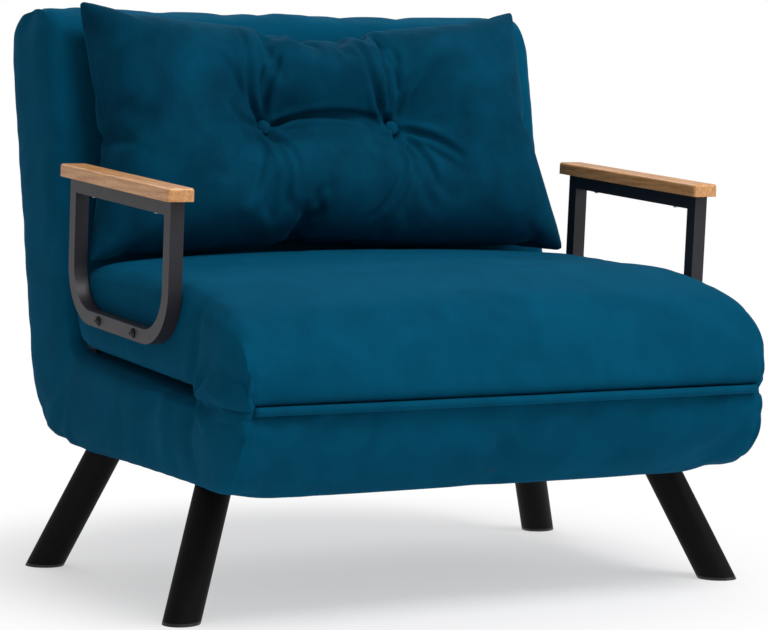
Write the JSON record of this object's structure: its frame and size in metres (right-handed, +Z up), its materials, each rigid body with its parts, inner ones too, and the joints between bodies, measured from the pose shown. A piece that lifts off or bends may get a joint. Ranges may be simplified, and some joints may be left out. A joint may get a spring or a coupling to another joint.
{
  "type": "convertible chair bed",
  "caption": "Upholstered chair that unfolds into a single bed: seat with wooden armrests flips forward, backrest reclines flat, splayed legs, loose pillow.",
  "frame": {"origin": "on the floor under the middle of the chair's box, folded as a chair", "axes": "+Z up, +Y to the rear of the chair, +X to the sitter's left; +X is the widest"},
  "size_m": [0.9058, 0.8352, 0.8281],
  "materials": {
    "velvet": "petrol blue velvet",
    "foam": "polyurethane foam",
    "fibre_filling": "polyester fibre",
    "frame_steel": "black powder coat",
    "arm_steel": "satin graphite powder coat",
    "leg_steel": "matt black paint",
    "black_steel": "black oxide",
    "zinc": "zinc plate",
    "beech": "lacquered beech",
    "plywood": "bent plywood",
    "black_plastic": "moulded polypropylene",
    "tag_ribbon": "plain woven ribbon"
  },
  "bodies": {
    "base": {"base_frame": "frame_steel", "base_slats": "plywood", "base_slat_holders": "black_plastic", "base_foam": "foam", "base_cover": "velvet", "leg_front_left": "leg_steel", "leg_front_right": "leg_steel", "leg_rear_left": "leg_steel", "leg_rear_right": "leg_steel", "foot_glides": "black_plastic", "leg_plates": "frame_steel", "leg_bolts": "zinc", "front_hinge_fixed_leaves": "frame_steel", "front_hinge_pins": "zinc", "recline_fixed_plates": "frame_steel", "recline_pins": "zinc", "recline_base_bolts": "zinc", "front_welt": "velvet", "rear_fold": "velvet"},
    "seat_section": {"seat_frame": "frame_steel", "seat_slats": "plywood", "seat_slat_holders": "black_plastic", "seat_foam": "foam", "seat_underside_pad": "foam", "seat_cover": "velvet", "front_hinge_moving_leaves": "frame_steel", "arm_frame_left": "arm_steel", "arm_frame_right": "arm_steel", "arm_board_left": "beech", "arm_board_right": "beech", "arm_bolts": "black_steel", "arm_spacers": "arm_steel", "arm_screws": "zinc"},
    "backrest": {"back_frame": "frame_steel", "back_slats": "plywood", "back_slat_holders": "black_plastic", "back_foam": "foam", "back_cover": "velvet", "recline_moving_plates": "frame_steel", "recline_back_bolts": "zinc", "head_leg_brackets": "frame_steel", "head_leg_bracket_bolts": "zinc", "side_tag": "tag_ribbon"},
    "head_leg": {"head_leg": "frame_steel", "head_leg_sleeves": "black_plastic", "head_leg_pivots": "zinc"},
    "pillow": {"pillow_filling": "fibre_filling", "pillow_cover": "velvet", "pillow_buttons": "velvet"}
  },
  "joints": [
    {"name": "seat_flip", "type": "hinge", "parent": "base", "child": "seat_section", "pos_m": [0, -0.41162, 0.2915], "axis": [1, 0, 0], "range_deg": [0, 179.3], "deforming": ["pillow_filling", "pillow_cover", "pillow_buttons"]},
    {"name": "back_recline", "type": "hinge", "parent": "base", "child": "backrest", "pos_m": [0, 0.15338, 0.32], "axis": [-1, 0, 0], "range_deg": [0, 79.5], "deforming": ["rear_fold"]},
    {"name": "head_leg_fold", "type": "hinge", "parent": "backrest", "child": "head_leg", "pos_m": [0, 0.40708, 0.7205], "axis": [1, 0, 0], "range_deg": [0, 90]},
    {"name": "pillow_lift", "type": "slide", "parent": "backrest", "child": "pillow", "axis": [0, -0.35, 0.9367], "range_m": [0, 0.45]}
  ]
}
